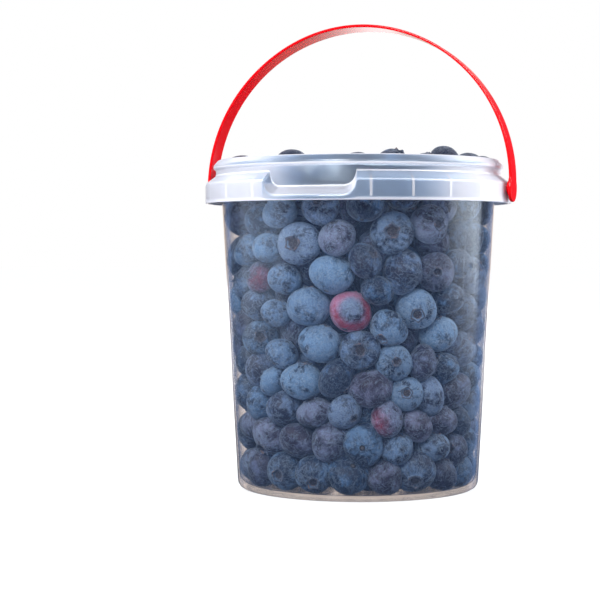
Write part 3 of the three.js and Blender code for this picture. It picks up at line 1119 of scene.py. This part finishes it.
def copy_of(kind, middle, half, axis, spin, shade, bloom, unripe):
    berry = KINDS[kind].copy()
    berry.data = KINDS[kind].data.copy()
    bpy.context.collection.objects.link(berry)
    mesh = berry.data
    own = mesh.attributes.new("own_place", "FLOAT_VECTOR", "POINT")
    own.data.foreach_set("vector", (places_of(mesh) * MM / HALF).ravel())
    turn = Vector((0, 0, 1)).rotation_difference(Vector(axis)).to_matrix().to_4x4()
    turn_and_size = turn @ Matrix.Rotation(spin, 4, "Z") @ Matrix.Scale(half * MM / HALF, 4)
    mesh.transform(Matrix.Translation(Vector(middle) * MM) @ turn_and_size)
    amount, direction, low, high = unripe
    towards = (places_of(mesh) - middle) @ np.array(seen(direction)) / half
    write(mesh, "shade", shade)
    write(mesh, "bloom", bloom)
    write(mesh, "unripe", amount * np.clip((towards - low) / (high - low), 0, 1))
    to_wall(mesh, middle)
    return berry


# %% All the berries
SHELL_DEPTH, TOP_DEPTH = 27, 22
OUTER_GAP = 4.5
MOST_BLOOM = 0.6
TOP_BLOOM, TOP_RUBBED = 0.4, 0.45
FILLER_SHADE, FILLER_BLOOM = 0.5, 0.3
RED_BERRY, MAUVE_BERRY, BLUSHED_BERRY = 13, 2, 25
UNRIPE = {
    RED_BERRY: (1.0, (-0.14, -0.02, -1.0), -1.0, -0.55),
    MAUVE_BERRY: (0.42, (0.1, -0.4, 1.0), -0.8, 0.9),
    BLUSHED_BERRY: (0.55, (-0.6, -0.2, 0.7), 0.1, 1.1),
}
copies = {kind: [] for kind in KINDS}
hand_kinds = [row[0] for row in SHOWN] + [None] * OUTLINE_COUNT + [row[0] for row in ON_TOP]
outer_kinds = [kind for kind in KINDS if kind != "inside"]
first_on_top = len(SHOWN) + OUTLINE_COUNT
for index in range(BERRY_COUNT):
    x, y, z = middles[index]
    from_wall = wall_inside(z) - hypot(x, y)
    spin = rng.uniform(0, 2 * pi)
    bloom, shade = MOST_BLOOM * rng.uniform(), rng.uniform()
    if index < len(SHOWN):
        bloom, shade = SHOWN[index][5:]
    kind = outer_kinds[rng.integers(len(outer_kinds))]
    if from_wall > SHELL_DEPTH and z < HEAP_EDGE - TOP_DEPTH:
        continue
    if index < len(hand_kinds):
        kind = hand_kinds[index] or kind
    elif from_wall > halves[index] + OUTER_GAP and z < HEAP_EDGE - TOP_DEPTH + OUTER_GAP:
        kind = "inside"
    on_top = first_on_top <= index < len(hand_kinds)
    if on_top:
        bloom = TOP_BLOOM * bloom - TOP_RUBBED
    berry = copy_of(kind, middles[index], halves[index], axes[index], spin,
                    shade, bloom, UNRIPE.get(index, RIPE))
    if on_top:
        to_height(berry.data, ON_TOP[index - first_on_top][3])
    copies[kind].append(berry)
for number, (kind, around, distance, top, width, crown) in enumerate(FILLERS):
    berry = copy_of(kind, (*at(around, distance), top - width / 2), width / 2, seen(crown),
                    number, FILLER_SHADE, FILLER_BLOOM, RIPE)
    to_height(berry.data, top)
    copies[kind].append(berry)
heaps = []
for kind, group in copies.items():
    heaps.append(join(group, "berries_" + kind))
    bpy.ops.object.shade_smooth()
    print(len(group), "berries of this kind:", kind)
    report(heaps[-1])
for kind in KINDS.values():
    bpy.data.objects.remove(kind)

# %% [markdown]
# ## Berry skin
#
# Ripe skin is nearly black, with a violet tinge. Over it lies a pale blue bloom, a thin wax that
# rubs off where berries touch. So the bloom is a mask made of large soft patches with finer
# wrinkles and scratches in them. Wrinkles run out from the crown, so one noise reads coordinates
# that hardly change along those lines. The mouth of the crown is dry and brown. An unripe side is
# red under the same bloom.

# %% Colours of the skin
SKIN, VIOLET_SKIN = (0.004, 0.014, 0.040, 1), (0.022, 0.014, 0.032, 1)
THIN_WAX, VIOLET_THIN_WAX = (0.060, 0.145, 0.290, 1), (0.120, 0.125, 0.215, 1)
THICK_WAX, VIOLET_THICK_WAX = (0.175, 0.300, 0.470, 1), (0.240, 0.265, 0.380, 1)
PALE_WAX = (0.28, 0.38, 0.50, 1)
UNRIPE_RED, UNRIPE_PINK = (0.30, 0.010, 0.036, 1), (0.42, 0.17, 0.28, 1)
LOBE_BLUE, LOBE_BROWN = (0.075, 0.095, 0.140, 1), (0.24, 0.15, 0.12, 1)
MOUTH_DARK = (0.010, 0.012, 0.022, 1)
DRY_GREY, DRY_BROWN = (0.050, 0.045, 0.060, 1), (0.13, 0.105, 0.100, 1)
SCAR_PALE, SCAR_DARK = (0.10, 0.085, 0.080, 1), (0.006, 0.005, 0.008, 1)
LINE_HALF = 0.035


# %% The berries' material
def berry_skin():
    material, wire = new_material("berry_skin")
    own = wire.node("Attribute", {"attribute_name": "own_place"}, output=1)
    shade, bloom, unripe, crown = map(wire.number, ("shade", "bloom", "unripe", "crown"))
    across, along, height = own.parts()
    radius = wire.maths("SQRT", across * across + along * along)
    shift = wire.node("CombineXYZ", inputs={0: shade * 40, 1: bloom * 30, 2: shade * 17})
    moved = wire.node("VectorMath", {"operation": "ADD"}, {0: own, 1: shift})
    spread = 2.6 * (1.0 / (radius + 0.15))
    rays = wire.node("CombineXYZ", inputs={
        0: across * spread, 1: along * spread, 2: height * 1.5 + shade * 20,
    })

    patches = moved.noise(1.1, 3, 0.55)
    rubs = moved.noise(4.5, 4, 0.65)
    specks = moved.noise(13, 3, 0.8)
    grain = moved.noise(26)
    wrinkles = rays.noise(1.6, 3, 0.6)
    folds = abs(moved.noise(2.4, 3, 0.6, 0.8) - 0.5).step(LINE_HALF, 0)
    creases = abs(wrinkles - 0.5).step(LINE_HALF, 0) * height.step(0.2, 0.6)
    lines = folds.most(creases)

    cover = (1.3 * patches + 0.5 * rubs + 0.4 * wrinkles + 0.4 * bloom).step(1.12, 1.44)
    cover *= 0.16 + 0.3 * grain + 0.5 * wrinkles + 0.58 * specks.step(0.30, 0.66)
    violet = shade * shade
    wax = bloom.mix(violet.mix(THIN_WAX, VIOLET_THIN_WAX), violet.mix(THICK_WAX, VIOLET_THICK_WAX))
    colour = cover.mix(violet.mix(SKIN, VIOLET_SKIN), wax)
    colour = (lines * (0.3 + specks) * (0.3 + 0.6 * bloom)).mix(colour, PALE_WAX)
    red_side = (unripe + 0.6 * (rubs - 0.5)).step(0.1, 0.9) * unripe.step(0, 0.2)
    colour = red_side.mix(colour, (0.25 + cover).step(0.2, 1.2).mix(UNRIPE_RED, UNRIPE_PINK))
    on_lobes = (crown + 0.8 * (rubs - 0.5)).step(0.35, 0.8)
    colour = on_lobes.mix(colour, rubs.step(0.52, 0.70).mix(LOBE_BLUE, LOBE_BROWN))
    dry = (0.5 * grain + 0.5 * specks).step(0.40, 0.62)
    dry = dry.mix(MOUTH_DARK, bloom.mix(DRY_GREY, DRY_BROWN))
    colour = crown.step(1.2, 1.8).mix(colour, dry)
    scar = radius.step(0.16, 0.12) * height.step(-0.4, -0.5)
    colour = scar.mix(colour, radius.step(0.05, 0.09).mix(SCAR_PALE, SCAR_DARK))

    relief = 0.6 * rubs + wrinkles + 0.3 * grain + 0.25 * lines
    show(material, wire.node("BsdfPrincipled", inputs={
        "Base Color": colour, "Roughness": 0.40 + 0.22 * cover, "Normal": relief.bump(0.7, 0.8),
        "IOR": 1.4, "Sheen Weight": 0.35, "Sheen Roughness": 0.3,
        "Sheen Tint": (0.65, 0.80, 1.0, 1),
    }))
    return material


skin = berry_skin()
for heap in heaps:
    dress(heap, skin)
    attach(heap, "tub")
    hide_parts("berries")

# %% [markdown]
# ## The core
#
# A dark body fills the middle of the heap, so that no light comes through between the berries.
# More berries would do that too, but nobody would see them. Its near-black colour is partly the
# berries' own dark skin and partly painted shade, the shade deep inside the heap.

# %% Core
CORE_CORNERS = [(0, 10, 0), (26, 10, 5), (31, 112, 6), (0, 116, 0)]
CORE_STEPS = 48
# The core's colours: the berries' own dark blue, darkened further as painted shade.
CORE_SHADE_DARK, CORE_SHADE_BLUE = (0.006, 0.007, 0.014, 1), (0.02, 0.024, 0.045, 1)
core = drawn_line("heap_core", rounded(CORE_CORNERS), 0)
bpy.ops.mesh.spin(steps=CORE_STEPS, angle=-2 * pi, center=(0, 0, 0), axis=(0, 0, 1))
close_up(core)
report(core)
core_material, wire = new_material("heap_core")
spots = wire.node("TexCoord", output=3).noise(90)
show(core_material, wire.node("BsdfPrincipled", inputs={
    "Base Color": spots.mix(CORE_SHADE_DARK, CORE_SHADE_BLUE), "Roughness": 0.8,
}))
dress(core, core_material)
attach(core, "tub")
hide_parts("berries")

# %% [markdown]
# ## Floor and light
#
# A white floor and a white surround, as in a studio. A Light Path node tells what kind of ray asks
# for a colour, and each kind gets an answer of its own.
#
# - A ray from the camera sees plain white, and a warm cream through the clear wall.
# - A ray that gathers light finds a dim floor near the pail and a bright one further off, and more
#   light from above, from both sides and from behind than from the front, so that the berries look
#   round.
# - A mirrored ray finds a pale panel to each side, a bright strip overhead and a warm wall behind.
#   All else is dark, as a studio is on the viewer's side. The panels' reflections are the veils on
#   the clear wall. They fade near the pail's foot, where the wall mirrors the near floor. A bright
#   band of the floor behind the pail is what the underside of the handle mirrors.

# %% Colours of the studio
SEEN_WHITE, SEEN_THROUGH = (1, 1, 1, 1), (0.86, 0.73, 0.65, 1)
NEAR_FLOOR_LIGHT, FAR_FLOOR_LIGHT = (0.25, 0.26, 0.30, 1), (1.5, 1.45, 1.45, 1)
FLOOR_GLOW = 1.25
DARK_STUDIO = (0.05, 0.065, 0.09, 1)
LEFT_PANEL, RIGHT_PANEL = (0.72, 0.86, 1.05, 1), (1.0, 1.08, 1.18, 1)
CEILING, OVERHEAD_STRIP = (0.25, 0.28, 0.33, 1), (1.5, 1.6, 1.75, 1)
WARM_BEHIND, WHITE_BEHIND = (0.98, 0.80, 0.69, 1), (2.6, 2.5, 2.5, 1)
BRIGHT_FLOOR = (2.5, 2.8, 3.1, 1)
LIGHT_FRONT, LIGHT_BEHIND = (0.06, 0.07, 0.10, 1), (0.8, 0.8, 0.8, 1)
LIGHT_LEFT, LIGHT_RIGHT = (0.50, 0.54, 0.62, 1), (0.72, 0.74, 0.78, 1)
LIGHT_ABOVE = (0.95, 0.98, 1.05, 1)


# %% Which way a ray goes, and of which kind it is
def sides(way):
    """How much a direction points to the left panel, to the right one and straight behind."""
    across, nearer = (
        way.node("VectorMath", {"operation": "DOT_PRODUCT"}, {0: way, 1: tuple(axis)}, output=1)
        for axis in (RIGHT, FRONT)
    )
    turn = way.maths("ARCTAN2", across, nearer) * (180 / pi)
    left = turn.step(-124, -108) * turn.step(-48, -75)
    right = turn.step(72, 92) * turn.step(133, 112)
    return left, right, nearer.step(-0.93, -0.985)


def mirrored_studio(way, colour_behind, colour_right=RIGHT_PANEL):
    left, right, behind = sides(way)
    panels = right.mix(left.mix(DARK_STUDIO, LEFT_PANEL), colour_right)
    return behind.mix(panels, colour_behind)


def ray_kinds(wire):
    """1 for direct rays, 1 for mirrored ones, and the colour that direct ones see."""
    camera_ray, glossy, transmitted, scatterings, mirrorings, crossings = (
        wire.node("LightPath", output=name)
        for name in ("Is Camera Ray", "Is Glossy Ray", "Is Transmission Ray", "Diffuse Depth",
                     "Glossy Depth", "Transparent Depth")
    )
    unscattered = transmitted * (1 - scatterings.least(1))
    was_mirrored = mirrorings.least(1)
    direct = camera_ray.most(unscattered * (1 - was_mirrored))
    mirrored = glossy.most(unscattered * was_mirrored)
    return direct, mirrored, crossings.least(1).mix(SEEN_WHITE, SEEN_THROUGH)


# %% Floor
start()
bpy.ops.mesh.primitive_circle_add(vertices=64, radius=8, fill_type="NGON")
floor = bpy.context.object
floor.name = "floor"
floor_material, wire = new_material("floor")
direct, mirrored, seen_colour = ray_kinds(wire)
place = wire.node("TexCoord", output=3)
way = wire.node("VectorMath", {"operation": "NORMALIZE"}, {0: place})
away = wire.node("VectorMath", {"operation": "LENGTH"}, {0: place}, output=1)
in_band = away.step(0.35, 0.9) * away.step(2.6, 2.0)
colour_behind = in_band.mix(WARM_BEHIND, WHITE_BEHIND)
colour_right = away.step(0.5, 1.05).mix(RIGHT_PANEL, BRIGHT_FLOOR)
far_floor = mirrored_studio(way, colour_behind, colour_right)
in_gloss = away.step(0.10, 0.65).mix(DARK_STUDIO, far_floor)
bounce = away.step(0.25, 0.8).mix(NEAR_FLOOR_LIGHT, FAR_FLOOR_LIGHT)
plain = wire.node("BsdfDiffuse", inputs={"Color": direct.mix(bounce, seen_colour)})
glowing = wire.node("Emission", inputs={
    "Color": mirrored.mix(seen_colour, in_gloss),
    "Strength": mirrored * (1 - FLOOR_GLOW) + FLOOR_GLOW,
})
share = 0.5 * direct + mirrored
show(floor_material, wire.node("MixShader", inputs={0: share, 1: plain, 2: glowing}))
floor_material.cycles.emission_sampling = "NONE"
floor.data.materials.append(floor_material)
print("the floor's finish has", len(floor_material.node_tree.nodes), "nodes")

# %% Surround
world = bpy.data.worlds.new("studio")
bpy.context.scene.world = world
world.use_nodes = True
world.node_tree.nodes.clear()
wire = Wire(world.node_tree)
direct, mirrored, seen_colour = ray_kinds(wire)
look = wire.node("TexCoord", output=0)
upwards = wire.node("SeparateXYZ", inputs={0: look}, output=2)
in_gloss = upwards.step(0.3, 0.9).mix(mirrored_studio(look, WARM_BEHIND), CEILING)
strip = upwards.step(0.40, 0.50) * upwards.step(0.88, 0.76)
in_gloss = strip.mix(in_gloss, OVERHEAD_STRIP)
left, right, behind = sides(look)
lighting = right.mix(left.mix(LIGHT_FRONT, LIGHT_LEFT), LIGHT_RIGHT)
lighting = upwards.step(0.1, 0.9).mix(behind.mix(lighting, LIGHT_BEHIND), LIGHT_ABOVE)
surround = direct.mix(mirrored.mix(lighting, in_gloss), seen_colour)
backdrop = wire.node("Background", inputs={"Color": surround, "Strength": 1.0})
output = world.node_tree.nodes.new("ShaderNodeOutputWorld")
world.node_tree.links.new(backdrop.socket, output.inputs["Surface"])
print("the surround has", len(world.node_tree.nodes), "nodes")

# %% [markdown]
# Four soft lamps add the shading: one to each side, a key lamp on the viewer's left and a low one
# at the right, half behind the pail. Gloss doesn't mirror the low one, so it leaves no highlight
# on the plastic.


# %% Lamps
def softbox(name, around, distance, height, wide, tall, power):
    """A soft lamp that faces the pail, some degrees round from the viewer's side."""
    turn = CAMERA_AROUND + radians(around)
    place = Vector((distance * sin(turn), -distance * cos(turn), height))
    facing = (Vector((0, 0, 0.09)) - place).to_track_quat("-Z", "Y").to_euler()
    bpy.ops.object.light_add(type="AREA", location=place, rotation=facing)
    lamp = bpy.context.object
    lamp.name = name
    lamp.data.shape = "RECTANGLE"
    lamp.data.size, lamp.data.size_y = wide, tall
    lamp.data.energy = power
    print(name, "at", [round(value, 2) for value in place])
    return lamp


softbox("lamp_left", -88, 0.9, 0.75, 0.6, 0.4, 4)
softbox("lamp_right", 92, 0.9, 0.75, 0.6, 0.4, 6)
softbox("lamp_low", 118, 0.9, 0.2, 0.5, 0.25, 5).visible_glossy = False
softbox("lamp_key", -18, 1.0, 0.65, 0.4, 0.4, 9.5)
bpy.context.scene.view_settings.view_transform = "Standard"

# %% The last line
start()
